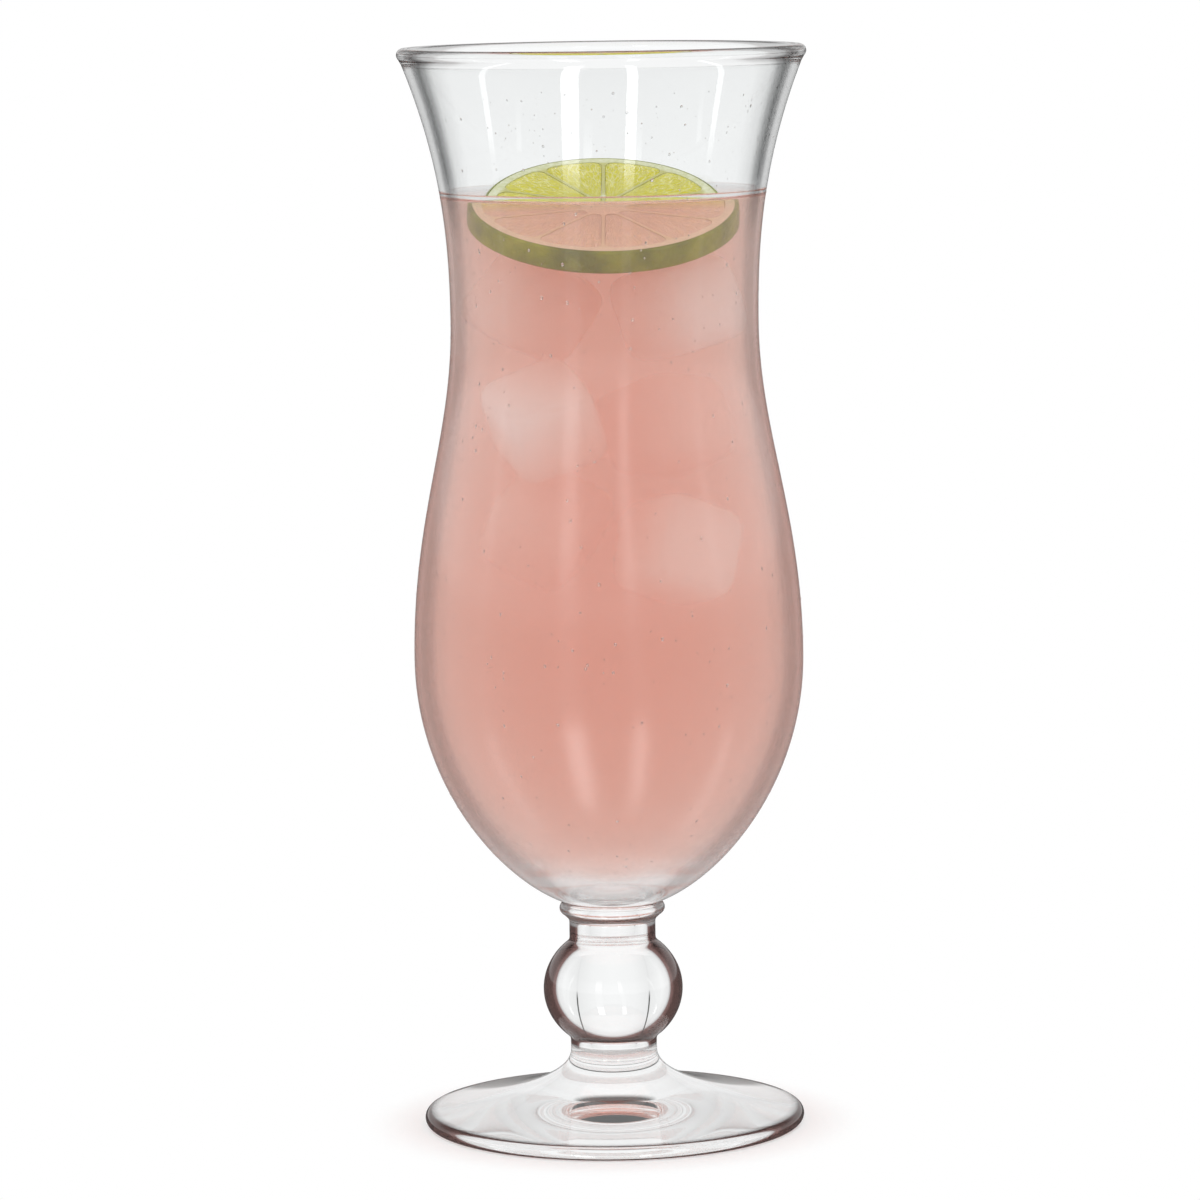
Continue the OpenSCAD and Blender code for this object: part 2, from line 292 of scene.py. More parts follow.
def drink_outline():
    """The inside of the bowl pushed out by the sunk amount, then the meniscus and the flat surface."""
    inside = bowl_inside()
    edge_z = fill_z + meniscus_h
    edge_r = np.interp(edge_z, inside[:, 1], inside[:, 0]) + sunk
    below = inside[inside[:, 1] < edge_z - meniscus_h / 4]
    climb = arc([edge_r - meniscus_w, edge_z], meniscus_w, meniscus_h, 0, -90, 10)
    flat = np.linspace([edge_r - meniscus_w, fill_z], [0.4 * MM, fill_z], 12)[1:]
    return np.vstack([below + [sunk, -sunk], climb, flat])


drink_skin = skin(turned(drink_outline(), 160), [0, 0, floor_z - sunk], [0, 0, fill_z])
print("the drink's skin has", len(drink_skin[0]), "points")

# %% [markdown]
# ## The ice
#
# The cubes are half melted, so their edges are round and their faces are no longer flat. A cube's skin is
# a ball pushed out to the distance 1 / (|x|^p + |y|^p + |z|^p)^(1/p), which is a ball at p = 2 and a cube
# at a large p. A few slow waves add the dimples that melting leaves.

# %% Six ice cubes
waist_play = 1.4 * MM
ice_edge = 0.358 * 2 * (waist_r - wall_t - waist_play)
ice_half = 0.47 * ice_edge
lime_t, lime_tilt, lime_roll, lime_dip = 4.5 * MM, math.radians(20), math.radians(1.2), 3.4 * MM
ice_top_z = fill_z - lime_dip - lime_t / 2 / math.cos(lime_tilt)
ice_places = np.array(
    [
        [-0.63, 0.34, -0.807],
        [0.68, -0.12, -0.817],
        [-0.58, -0.42, -1.957],
        [0.54, 0.43, -2.107],
        [-0.56, 0.22, -3.107],
        [0.66, -0.32, -3.307],
    ]
)
ice_turns = np.array(
    [[12, 28, 20], [8, -14, -38], [30, -22, 12], [-24, 10, 52], [38, 30, -16], [-14, 20, 34]]
)


def turning(degrees):
    """Rotation matrix for turns about X, then Y, then Z."""
    a, b, c = np.radians(degrees)
    about_x = np.array([[1, 0, 0], [0, np.cos(a), -np.sin(a)], [0, np.sin(a), np.cos(a)]])
    about_y = np.array([[np.cos(b), 0, np.sin(b)], [0, 1, 0], [-np.sin(b), 0, np.cos(b)]])
    about_z = np.array([[np.cos(c), -np.sin(c), 0], [np.sin(c), np.cos(c), 0], [0, 0, 1]])
    return about_z @ about_y @ about_x


def melted_cube(seed, rows=46, around=92, roundness=5.0):
    """Directions on a ball, pushed out to the rounded cube, less the dimples, to 0.665 edges at most."""
    up = np.radians(np.linspace(-90, 90, rows + 2)[1:-1])[:, None]
    angle = np.linspace(0, 2 * np.pi, around, endpoint=False)
    way = np.stack(
        [np.cos(up) * np.cos(angle), np.cos(up) * np.sin(angle), np.sin(up) + 0 * angle], axis=-1
    )
    reach = (np.abs(way) ** roundness).sum(axis=-1) ** (-1 / roundness)
    waves = sum(
        np.sin(way @ np.array(k) + seed * 1.7 * n)
        for n, k in enumerate([(4.1, 2.3, 1.2), (-2.2, 3.9, 2.8), (1.4, -3.1, 4.4), (5.2, 4.1, -3.7)])
    )
    reach = 0.485 * ice_edge * reach * (1 - 0.012 * (waves + 4) / 2)
    reach = np.minimum(reach, 0.665 * ice_edge)
    return way * reach[..., None], [0, 0, -ice_half], [0, 0, ice_half]


ice_pieces, pockets = [], []
for number, (place, turn) in enumerate(zip(ice_places, ice_turns), 1):
    rings, low, high = melted_cube(number)
    matrix, middle = turning(turn), np.array([0, 0, ice_top_z]) + ice_edge * place
    points, quads, fans = skin(rings, low, high)
    ice_pieces.append(piece(f"ice_{number}", points @ matrix.T + middle, quads, fans))
    smaller = points * (1 - sunk / ice_half)
    pockets.append((smaller @ matrix.T + middle, quads[:, ::-1], fans[:, ::-1]))

# %% [markdown]
# Ice pushes the drink aside, so the drink's skin has a pocket for each cube: the cube's own skin, a tenth
# of a millimetre smaller and turned inside out. Inside a pocket there is no pink, which is why ice shows
# as a pale cloud. The overlap is the same trick as at the wall, and keeps a false film of air away.

# %% The drink with its pockets
parts = [drink_skin] + pockets
starts = np.cumsum([0] + [len(part[0]) for part in parts])[:-1]
drink_body = piece(
    "drink_body",
    np.vstack([part[0] for part in parts]),
    np.vstack([part[1] + start for part, start in zip(parts, starts)]),
    np.vstack([part[2] + start for part, start in zip(parts, starts)]),
)

# %% [markdown]
# ## The lime wheel
#
# A wheel is cut straight across a lime. From the outside in it has green zest with oil glands in it, a
# ring of white pith, and ten wedges of flesh in thin skins that meet in a white core. The zest is a
# narrow band with rounded shoulders, carried round the wheel. Each wedge swells a little out of its skin,
# because the juice sacs stand up where the knife has opened them.

# %% The lime's zest
lime_r, zest_t, pith_t, skin_t, segments = 23 * MM, 0.8 * MM, 1.6 * MM, 0.6 * MM, 10
lime_turn = turning([math.degrees(lime_tilt), math.degrees(lime_roll), 0])
lime_middle = np.array([0, 0, fill_z - lime_dip])


def afloat(points):
    """Tilts and lowers points of the flat wheel to where it floats."""
    return points @ lime_turn.T + lime_middle


def zest_band(around=288):
    """A closed band: outside bowed as the round fruit, pitted by sines at the oil glands' spacing."""
    half, shoulder = lime_t / 2, 0.18 * MM
    bow = arc([0, 0], lime_r, lime_r, -math.degrees(half / lime_r), math.degrees(half / lime_r), 16)
    inner = lime_r - zest_t
    band = np.vstack([[[inner, -half]], [[lime_r - 3 * shoulder, -half]], bow[1:-1]])
    band = np.vstack([band, [[lime_r - 3 * shoulder, half]], [[inner, half]]])
    rings = turned(band, around)
    angle = np.linspace(0, 2 * np.pi, around, endpoint=False)
    height = rings[..., 2] / MM
    pits = np.sin(46 * angle + 2.1 * np.sin(3 * angle))
    pits = pits * np.sin(2.9 * height + 1.3 * np.sin(9 * angle))
    out = np.zeros(len(band))
    out[3:-3] = 1
    rings[..., :2] *= 1 - (0.0028 * out)[:, None, None] * (pits[..., None] + 1) / 2
    return rings


def closed_band(rings):
    """Joins the last ring to the first, for a band with a hole in its middle."""
    count, around = rings.shape[:2]
    row, here = np.arange(count)[:, None] * around, np.arange(around)
    next_row, beside = np.roll(row, -1, axis=0), np.roll(here, -1)
    quads = np.stack([row + here, row + beside, next_row + beside, next_row + here], axis=-1)
    return rings.reshape(-1, 3), quads.reshape(-1, 4), np.zeros((0, 3), int)


points, quads, none = closed_band(zest_band())
lime_rind = piece("lime_rind", afloat(points), quads, none)

# %% [markdown]
# Each segment of flesh is a wedge with round corners, drawn in to its own middle in eighteen rings on both
# cut faces. The heights of the rings carry the juice sacs, which are long cells that lie along the
# radius. A UV map along the wedge lets the flesh's finish follow the same cells.


# %% The lime's flesh
def wedge_outline(gap, steps=14):
    """A wedge with four rounded corners: two at the rind, one at the core, straight sides between."""
    half = math.pi / segments
    side, corner_r, tip_r = skin_t / 2 + gap, 2 * MM - gap, 1.2 * MM - gap
    flesh_r = lime_r - zest_t - pith_t - gap
    reach = flesh_r - corner_r
    lean = half - math.asin((side + corner_r) / reach)
    tip = (side + tip_r) / math.sin(half)
    corner = reach * np.array([math.cos(lean), math.sin(lean)])
    bend = corner + corner_r * np.array([-math.sin(half), math.cos(half)])
    lean_deg, half_deg = math.degrees(lean), math.degrees(half)
    turns = [
        arc(corner * [1, -1], corner_r, corner_r, -half_deg - 90, -lean_deg, steps),
        arc([0, 0], flesh_r, flesh_r, -lean_deg, lean_deg, 2 * steps)[1:-1],
        arc(corner, corner_r, corner_r, lean_deg, half_deg + 90, steps),
        np.linspace(bend, [tip - tip_r * math.sin(half), tip_r * math.cos(half)], 26)[1:-1],
        arc([tip, 0], tip_r, tip_r, half_deg + 90, 270 - half_deg, steps),
    ]
    back = turns[3][::-1] * [1, -1]
    return np.vstack(turns + [back])


print("a segment's outline has", len(wedge_outline(0.05 * MM)), "points")


# %% The juice sacs
def juice_sacs(x, y, seed):
    """Height of the sacs, 0 to 1: long cells along the radius, their walls bent by slow waves."""
    radius, angle = np.hypot(x, y) / MM, np.arctan2(y, x)
    across = angle * 15.5 + 0.9 * np.sin(0.55 * radius + seed) + 0.35 * np.sin(1.3 * radius + 5 * angle)
    along = 0.34 * radius + 0.8 * np.sin(2.1 * across + seed)
    return np.abs(np.sin(across)) ** 0.7 * (0.55 + 0.45 * np.abs(np.sin(along)))


def wedge_skin(seed, swell=0.22 * MM):
    """Rings of the outline drawn in to the wedge's middle, on both faces, with a rounded edge between."""
    outline = wedge_outline(0.05 * MM)
    middle = outline.mean(axis=0)
    shares = np.concatenate([np.linspace(0.06, 0.9, 15), [0.95, 0.98, 1.0]])
    rings = []
    for face in (-1, 1):
        order = shares if face < 0 else shares[::-1]
        for share in order:
            flat = middle + share * (outline - middle)
            dome = (1 - share**6) * (0.35 + 0.65 * juice_sacs(flat[:, 0], flat[:, 1], seed))
            height = face * (lime_t / 2 - 0.12 * MM * share**8 + swell * dome)
            rings.append(np.column_stack([flat, height]))
    top = lime_t / 2 + 0.6 * swell
    return skin(np.array(rings), [*middle, -top], [*middle, top])


print("a segment's skin has", len(wedge_skin(0)[0]), "points")

# %% Ten segments
flesh_pieces = []
for number in range(1, segments + 1):
    points, quads, fans = wedge_skin(number * 2.3)
    spin = turning([0, 0, 360 / segments * (number - 1)])
    made = piece(f"flesh_{number}", afloat(points @ spin.T), quads, fans)
    along = made.data.uv_layers.new(name="along_the_wedge")
    corners = np.zeros(len(made.data.loops), np.int32)
    made.data.loops.foreach_get("vertex_index", corners)
    flat = points[corners]
    radius, angle = np.hypot(flat[:, 0], flat[:, 1]), np.arctan2(flat[:, 1], flat[:, 0])
    uv = np.stack([angle * 15 + number, radius / MM], axis=-1)
    along.data.foreach_set("uv", uv.astype(np.float32).ravel())
    flesh_pieces.append(made)

# %% [markdown]
# ## The dew
#
# A cold drink cools the glass, and water settles on its outside: a mist too fine to see one by one, and
# beads that have run together. The mist is left to the glass's own finish. The beads are real lenses,
# flat caps of a ball sunk a little into the wall, each with a few dozen faces. They are thickest low on
# the bowl and thin out above the drink.


# %% Beads of dew on the bowl
def bead_places(count, seed=7):
    """Places on the outer wall: heights drawn more often low down, any angle round the glass."""
    draw = np.random.default_rng(seed)
    wall = bowl_outside()
    low_share, low_start, low_span, over_drink = 0.4, 9 * MM, 46 * MM, 20 * MM
    smallest, spread = 0.06 * MM, 0.24 * MM
    height = np.where(
        draw.random(count) < low_share,
        bowl_z + low_start + low_span * draw.random(count) ** 1.3,
        belly_z + (fill_z + over_drink - belly_z) * draw.random(count),
    )
    radius = np.interp(height, wall[:, 1], wall[:, 0])
    slope = np.interp(height, wall[:, 1], np.gradient(wall[:, 0], wall[:, 1]))
    angle = 2 * np.pi * draw.random(count)
    size = smallest + spread * draw.random(count) ** 5
    return radius, height, slope, angle, size


def bead_skin(radius, height, slope, angle, size, rows=4, around=8):
    """One cap for each place: rings at the share s reach out s and stand 0.55 (1 - s^2) - 0.05 high.

    A cap is 1.15 times as tall as wide, and its back is sunk 0.12 into the wall, all in the bead's size."""
    share = np.linspace(0.3, 1, rows)[::-1]
    turn = np.linspace(0, 2 * np.pi, around, endpoint=False)
    u = (share[:, None] * np.cos(turn)).ravel()
    v = (share[:, None] * np.sin(turn)).ravel()
    w = np.repeat(0.55 * (1 - share**2) - 0.05, around)
    u, v, w = (np.append(a, b) for a, b in ((u, [0, 0]), (v, [0, 0]), (w, [-0.12, 0.52])))
    out = np.stack([np.cos(angle), np.sin(angle), -slope], axis=-1)
    out /= np.linalg.norm(out, axis=1, keepdims=True)
    side = np.stack([-np.sin(angle), np.cos(angle), 0 * angle], axis=-1)
    rise = np.cross(out, side)
    place = np.stack([radius * np.cos(angle), radius * np.sin(angle), height], axis=-1)
    size = size[:, None, None]
    points = place[:, None] + size * (
        u[:, None] * side[:, None] + 1.15 * v[:, None] * rise[:, None] + w[:, None] * out[:, None]
    )
    unit = skin(np.zeros((rows, around, 3)), [0, 0, 0], [0, 0, 0])
    step = (np.arange(len(radius)) * (rows * around + 2))[:, None, None]
    return points.reshape(-1, 3), (unit[1] + step).reshape(-1, 4), (unit[2] + step).reshape(-1, 3)


dew = piece("dew", *bead_skin(*bead_places(2600)))


# %% [markdown]
# ## Materials
#
# Colours are written as sRGB hex values, as a colour picker shows them, and turned to linear light by one
# function. One more function adds a node with its settings and its links, so that each material reads
# as a short list.


# %% Helpers for materials
def linear(text, alpha=1.0):
    """sRGB hex to linear: c / 12.92 below 0.04045, ((c + 0.055) / 1.055)^2.4 above."""
    parts = [int(text[i : i + 2], 16) / 255 for i in (1, 3, 5)]
    return tuple(c / 12.92 if c <= 0.04045 else ((c + 0.055) / 1.055) ** 2.4 for c in parts) + (alpha,)


def add(tree, kind, links=(), stops=None, **settings):
    """Adds a node. Settings are its properties, links fill its sockets, stops fill its colour ramp."""
    made = tree.nodes.new(kind)
    for name, value in settings.items():
        setattr(made, name, value)
    if stops:
        while len(made.color_ramp.elements) < len(stops):
            made.color_ramp.elements.new(0.5)
        for element, (place, colour) in zip(made.color_ramp.elements, stops):
            element.position, element.color = place, colour
    for socket, value in dict(links).items():
        if isinstance(value, bpy.types.NodeSocket):
            tree.links.new(value, made.inputs[socket])
        else:
            made.inputs[socket].default_value = value
    return made


def material(name):
    """A new empty material and its node tree."""
    made = bpy.data.materials.new(name)
    made.use_nodes = True
    made.node_tree.nodes.clear()
    return made, made.node_tree


# %% [markdown]
# ### Clear soda-lime glass
#
# Table glass is soda-lime glass, pressed or blown and fire-polished. It has an IOR of 1.52, almost no
# colour, and a flawless surface where it is dry. Where it is misted with dew the surface is rough, so a
# highlight spreads there and what lies behind softens. Above a roughness of about 0.27 the denoiser
# leaves grain, so the mist stays under that.
#
# Clear glass on white is seen by its dark outlines, where a ray grazes the wall and meets the dark of the
# room. A dark card at each side would draw them from one side only. Here they are painted shade instead:
# the colour of the glass darkens with the angle to the surface, by a Layer Weight, in a narrow line on the
# thin wall, and over the whole edge of the solid stem, where the painted shade is red-brown.

# %% Glass
clear_glass, tree = material("clear_soda_lime_glass")
place = add(tree, "ShaderNodeTexCoord")
misted = add(tree, "ShaderNodeAttribute", attribute_name="mist")
specks = add(
    tree, "ShaderNodeTexNoise",
    {"Vector": place.outputs["Object"], "Scale": 1 / (0.8 * MM), "Detail": 2.0, "Roughness": 0.7},
)
uneven = add(
    tree, "ShaderNodeMapRange",
    {"Value": specks.outputs["Fac"], "From Min": 0.3, "From Max": 0.7, "To Min": 0.19, "To Max": 0.25},
)
rough = add(tree, "ShaderNodeMath", {0: misted.outputs["Fac"], 1: uneven.outputs[0]}, operation="MULTIPLY")

# %% The painted dark outlines of the glass
turned_away = add(tree, "ShaderNodeLayerWeight", {"Blend": 0.5})
clear = linear("#fbfcfc")
# Painted shade: a narrow dark line where the thin wall turns away from the view.
painted_thin_outline = add(
    tree, "ShaderNodeValToRGB", {"Fac": turned_away.outputs["Facing"]},
    stops=[
        (0.42, clear), (0.53, linear("#d8d9d9")), (0.59, linear("#7c7d7d")), (0.65, linear("#3e3f3f")),
        (0.71, linear("#6c6d6d")), (0.77, linear("#dedfdf")), (0.84, clear),
    ],
)
# Painted shade: a broad darkening, red-brown, where the solid glass turns away from the view.
painted_solid_outline = add(
    tree, "ShaderNodeValToRGB", {"Fac": turned_away.outputs["Facing"]},
    stops=[(0.3, clear), (0.39, linear("#e0e0e0")), (0.44, linear("#482a27")), (0.52, linear("#1c0c0a"))],
)
painted_thin_mask = add(tree, "ShaderNodeAttribute", attribute_name="painted_line_thin")
painted_solid_mask = add(tree, "ShaderNodeAttribute", attribute_name="painted_line_solid")
wall_with_painted_line = add(
    tree, "ShaderNodeMix",
    {"Factor": painted_thin_mask.outputs["Fac"], "A": clear, "B": painted_thin_outline.outputs[0]}, data_type="RGBA",
)
glass_with_painted_outline = add(
    tree, "ShaderNodeMix",
    {"Factor": painted_solid_mask.outputs["Fac"], "A": wall_with_painted_line.outputs["Result"], "B": painted_solid_outline.outputs[0]},
    data_type="RGBA",
)
glass_shader = add(
    tree, "ShaderNodeBsdfPrincipled",
    {
        "Base Color": glass_with_painted_outline.outputs["Result"],
        "Roughness": rough.outputs[0],
        "IOR": 1.52,
        "Transmission Weight": 1.0,
    },
)
add(tree, "ShaderNodeOutputMaterial", {"Surface": glass_shader.outputs[0]})
print(clear_glass.name, "has", len(tree.nodes), "nodes")

# %% [markdown]
# ### The cloudy pink drink
#
# Fruit juice is cloudy: fine pulp scatters the light, and the dye takes green and blue out of it. Both
# happen in the depth of the drink, so they are given to its volume, per metre. Light comes back pink from
# the deep middle and paler near the ice. A watery drink has an IOR of 1.33. Here it is 1.12: the round
# body of drink works as a lens, and with this value the sunk half of the lime comes out as wide as in the
# photograph.

# %% Drink
pink_drink, tree = material("cloudy_pink_juice")
surface = add(
    tree, "ShaderNodeBsdfPrincipled",
    {
        "Base Color": linear("#ffffff"),
        "Roughness": 0.06,
        "IOR": 1.12,
        "Transmission Weight": 1.0,
    },
)
scatter = add(
    tree, "ShaderNodeVolumeScatter", {"Color": linear("#ffffff"), "Density": 18.0, "Anisotropy": 0.0},
)
absorb = add(
    tree, "ShaderNodeVolumeAbsorption", {"Color": (0.93, 0.3, 0.08, 1.0), "Density": 20.0},
)
depth = add(tree, "ShaderNodeAddShader", {0: scatter.outputs[0], 1: absorb.outputs[0]})
add(tree, "ShaderNodeOutputMaterial", {"Surface": surface.outputs[0], "Volume": depth.outputs[0]})
print(pink_drink.name, "has", len(tree.nodes), "nodes")

# %% [markdown]
# ### Ice
#
# Freezer ice is milky, because air was trapped in it as it froze. The milk is given to its volume, so it
# deepens with the thickness that is looked through. Real ice has an IOR of 1.31, close to water's 1.33,
# and nearly vanishes in a drink. Here it is 1.2, a little over this drink's 1.12, so under the surface
# it shows as a pale cloud with a soft edge.

# %% Ice
ice_material, tree = material("half_melted_ice")
place = add(tree, "ShaderNodeTexCoord")
frost = add(
    tree, "ShaderNodeTexNoise", {"Vector": place.outputs["Object"], "Scale": 1 / (4 * MM), "Detail": 4.0},
)
dimples = add(
    tree, "ShaderNodeBump", {"Height": frost.outputs["Fac"], "Strength": 0.3, "Distance": 0.4 * MM},
)
surface = add(
    tree, "ShaderNodeBsdfPrincipled",
    {
        "Base Color": linear("#ffffff"),
        "Roughness": 0.3,
        "IOR": 1.2,
        "Transmission Weight": 1.0,
        "Normal": dimples.outputs["Normal"],
    },
)
milk = add(tree, "ShaderNodeVolumeScatter", {"Color": linear("#ffffff"), "Density": 400.0})
add(tree, "ShaderNodeOutputMaterial", {"Surface": surface.outputs[0], "Volume": milk.outputs[0]})
print(ice_material.name, "has", len(tree.nodes), "nodes")

# %% [markdown]
# ### Lime zest
#
# The zest is a waxy skin over oil glands that are 0.9 mm apart. Each gland is a small pit, which breaks the
# highlight up, and the green is blotched over about 6 mm.

# %% Zest
zest_material, tree = material("waxy_lime_zest")
place = add(tree, "ShaderNodeTexCoord")
glands = add(tree, "ShaderNodeTexVoronoi", {"Vector": place.outputs["Object"], "Scale": 1 / (0.9 * MM)})
tone = add(
    tree, "ShaderNodeTexNoise", {"Vector": place.outputs["Object"], "Scale": 1 / (6 * MM), "Detail": 3.0},
)
green = add(
    tree, "ShaderNodeValToRGB", {"Fac": tone.outputs["Fac"]},
    stops=[(0.3, linear("#6c7400")), (0.55, linear("#8f970c")), (0.75, linear("#b0b52a"))],
)
pits = add(
    tree, "ShaderNodeBump", {"Height": glands.outputs["Distance"], "Strength": 0.5, "Distance": 0.2 * MM},
)
shader = add(
    tree, "ShaderNodeBsdfPrincipled",
    {"Base Color": green.outputs[0], "Roughness": 0.32, "Normal": pits.outputs["Normal"]},
)
add(tree, "ShaderNodeOutputMaterial", {"Surface": shader.outputs[0]})
print(zest_material.name, "has", len(tree.nodes), "nodes")

# %% [markdown]
# ### Lime pith
#
# Pith is matt and fibrous, white at the rind and the core. The thin skins between the segments are the
# same piece, and juice shows through them, so they are yellower: a ramp over the distance from the
# wheel's middle tells them apart. Under the surface of the drink the pith gets a painted pale pink light,
# over the first two millimetres down, in place of the light that reaches it through the drink.

# %% Pith
drink_depth = 2 * MM
pith_material, tree = material("white_lime_pith")
place = add(tree, "ShaderNodeTexCoord")
fibres = add(
    tree, "ShaderNodeTexNoise",
    {"Vector": place.outputs["Object"], "Scale": 1 / (0.8 * MM), "Detail": 3.0},
)
cream = add(
    tree, "ShaderNodeValToRGB", {"Fac": fibres.outputs["Fac"]},
    stops=[(0.35, linear("#d8dba6")), (0.7, linear("#eef0d2"))],
)
wheel = add(
    tree, "ShaderNodeMapping",
    {
        "Vector": place.outputs["Object"],
        "Location": tuple(lime_middle),
        "Rotation": (lime_tilt, lime_roll, 0),
    },
    vector_type="TEXTURE",
)
parts = add(tree, "ShaderNodeSeparateXYZ", {"Vector": wheel.outputs[0]})
flat = add(tree, "ShaderNodeCombineXYZ", {"X": parts.outputs["X"], "Y": parts.outputs["Y"]})
away = add(tree, "ShaderNodeVectorMath", {0: flat.outputs[0]}, operation="LENGTH")
away_share = add(tree, "ShaderNodeMath", {0: away.outputs["Value"], 1: lime_r}, operation="DIVIDE")
skins = add(
    tree, "ShaderNodeValToRGB", {"Fac": away_share.outputs[0]},
    stops=[(0.16, (0, 0, 0, 1)), (0.24, (1, 1, 1, 1)), (0.86, (1, 1, 1, 1)), (0.90, (0, 0, 0, 1))],
)
toned = add(
    tree, "ShaderNodeMix",
    {"Factor": skins.outputs[0], "A": cream.outputs[0], "B": linear("#cdca7a")}, data_type="RGBA",
)
# Painted light: under the drink's surface the pith is tinted pale pink, for the light through the drink.
level = add(tree, "ShaderNodeSeparateXYZ", {"Vector": place.outputs["Object"]})
painted_drink_light = add(
    tree, "ShaderNodeMapRange",
    {"Value": level.outputs["Z"], "From Min": fill_z, "From Max": fill_z - drink_depth, "To Max": 0.7},
)
with_drink_light = add(
    tree, "ShaderNodeMix",
    {"Factor": painted_drink_light.outputs[0], "A": toned.outputs["Result"], "B": linear("#f6d6c0")}, data_type="RGBA",
)
fuzz = add(tree, "ShaderNodeBump", {"Height": fibres.outputs["Fac"], "Strength": 0.4, "Distance": 0.15 * MM})
shader = add(
    tree, "ShaderNodeBsdfPrincipled",
    {"Base Color": with_drink_light.outputs["Result"], "Roughness": 0.5, "Normal": fuzz.outputs["Normal"]},
)
add(tree, "ShaderNodeOutputMaterial", {"Surface": shader.outputs[0]})
print(pith_material.name, "has", len(tree.nodes), "nodes")

# %% [markdown]
# ### Lime flesh
#
# Cut flesh is wet, so its highlight is sharp, and light sinks a little way into it. The juice sacs are
# long cells along the wedge's own UV map, with paler walls that stand up. Sunk flesh gets the same
# painted pale pink light from the drink as the pith does.

# %% Flesh
flesh_material, tree = material("wet_lime_flesh")
along = add(tree, "ShaderNodeUVMap", uv_map="along_the_wedge")
sacs = add(tree, "ShaderNodeMapping", {"Vector": along.outputs[0], "Scale": (1.0, 0.28, 1.0)})
cells = add(
    tree, "ShaderNodeTexVoronoi", {"Vector": sacs.outputs[0], "Scale": 1.6}, feature="DISTANCE_TO_EDGE",
)
walls = add(
    tree, "ShaderNodeMapRange", {"Value": cells.outputs["Distance"], "From Min": 0.0, "From Max": 0.16},
)
juice = add(
    tree, "ShaderNodeValToRGB", {"Fac": walls.outputs[0]},
    stops=[(0.0, linear("#f0ec9c")), (0.45, linear("#e6de4e")), (1.0, linear("#dcd42c"))],
)
ridges = add(tree, "ShaderNodeBump", {"Height": walls.outputs[0], "Strength": 0.6, "Distance": 0.25 * MM})
place = add(tree, "ShaderNodeTexCoord")
# Painted light: sunk flesh is tinted pale pink, for the light through the drink.
level = add(tree, "ShaderNodeSeparateXYZ", {"Vector": place.outputs["Object"]})
painted_drink_light = add(
    tree, "ShaderNodeMapRange",
    {"Value": level.outputs["Z"], "From Min": fill_z, "From Max": fill_z - drink_depth, "To Max": 0.85},
)
with_drink_light = add(
    tree, "ShaderNodeMix",
    {"Factor": painted_drink_light.outputs[0], "A": juice.outputs[0], "B": linear("#fad2c6")}, data_type="RGBA",
)
shader = add(
    tree, "ShaderNodeBsdfPrincipled",
    {
        "Base Color": with_drink_light.outputs["Result"],
        "Roughness": 0.16,
        "Subsurface Weight": 0.35,
        "Subsurface Radius": (1.0, 0.9, 0.35),
        "Subsurface Scale": 2.0 * MM,
        "Normal": ridges.outputs["Normal"],
    },
)
add(tree, "ShaderNodeOutputMaterial", {"Surface": shader.outputs[0]})
print(flesh_material.name, "has", len(tree.nodes), "nodes")

# %% [markdown]
# ### Water
#
# The beads of dew are plain water, IOR 1.33.

# %% Water
water, tree = material("dew_water")
shader = add(
    tree, "ShaderNodeBsdfPrincipled",
    {"Base Color": linear("#ffffff"), "Roughness": 0.0, "IOR": 1.33, "Transmission Weight": 1.0},
)
add(tree, "ShaderNodeOutputMaterial", {"Surface": shader.outputs[0]})
print(water.name, "has", len(tree.nodes), "nodes")

# %% [markdown]
# ## Dress the pieces
#
# Every piece rides with the body that it belongs to, so it moves when the model is posed, and stands for
# the CAD solids that it shows. The pith is flat and hidden but for its edges, so it keeps the CAD's own
# mesh and only takes its finish.


# %% Ride, replace and finish
def dress(made, finish, slot, body, *nodes):
    """Gives a piece its finish and the body it rides on, and hides the solids it stands for. The slot is not
    used.
    """
    made.data.materials.append(finish)
    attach(made, body)
    if nodes:
        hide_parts(*nodes)


dress(glass_body, clear_glass, "clear_glass", "glass", "foot", "ball_stem", "collar", "bowl")
dress(drink_body, pink_drink, "pink_drink", "glass", "drink")
dress(dew, water, "clear_glass", "glass")
for number, made in enumerate(ice_pieces, 1):
    dress(made, ice_material, "ice", f"ice_cube_{number}", f"ice_cube_{number}")
dress(lime_rind, zest_material, "lime_zest", "lime_wheel", "lime_zest")
for number, made in enumerate(flesh_pieces, 1):
    dress(made, flesh_material, "lime_flesh", "lime_wheel", f"lime_segment_{number}")
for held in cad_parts["lime_pith"].material_slots:
    held.material = pith_material
print("the lime's pith is the CAD's own mesh")

# %% [markdown]
# ## Table, light and camera
#
# Glass is lit by what surrounds it. A product photographer stands it in a tent of white panels on a white
# table, and lets narrow soft boxes reflect in front. The world does all of that here, by direction. A
# ray that has passed through glass sees the tent, a mirrored ray sees the soft boxes, and a matt surface
# sees even light. The tent has eight equal panels with a thin dark seam between them, so the glass looks
# the same from every side, and the seams are the fine lines in the ball. The seams are faint below the
# horizon, because thin glass shows what is straight behind it, and a seam there would be a dark bar in the
# flare. The tent is a node group, whose Seams input leaves them out where it is 0.

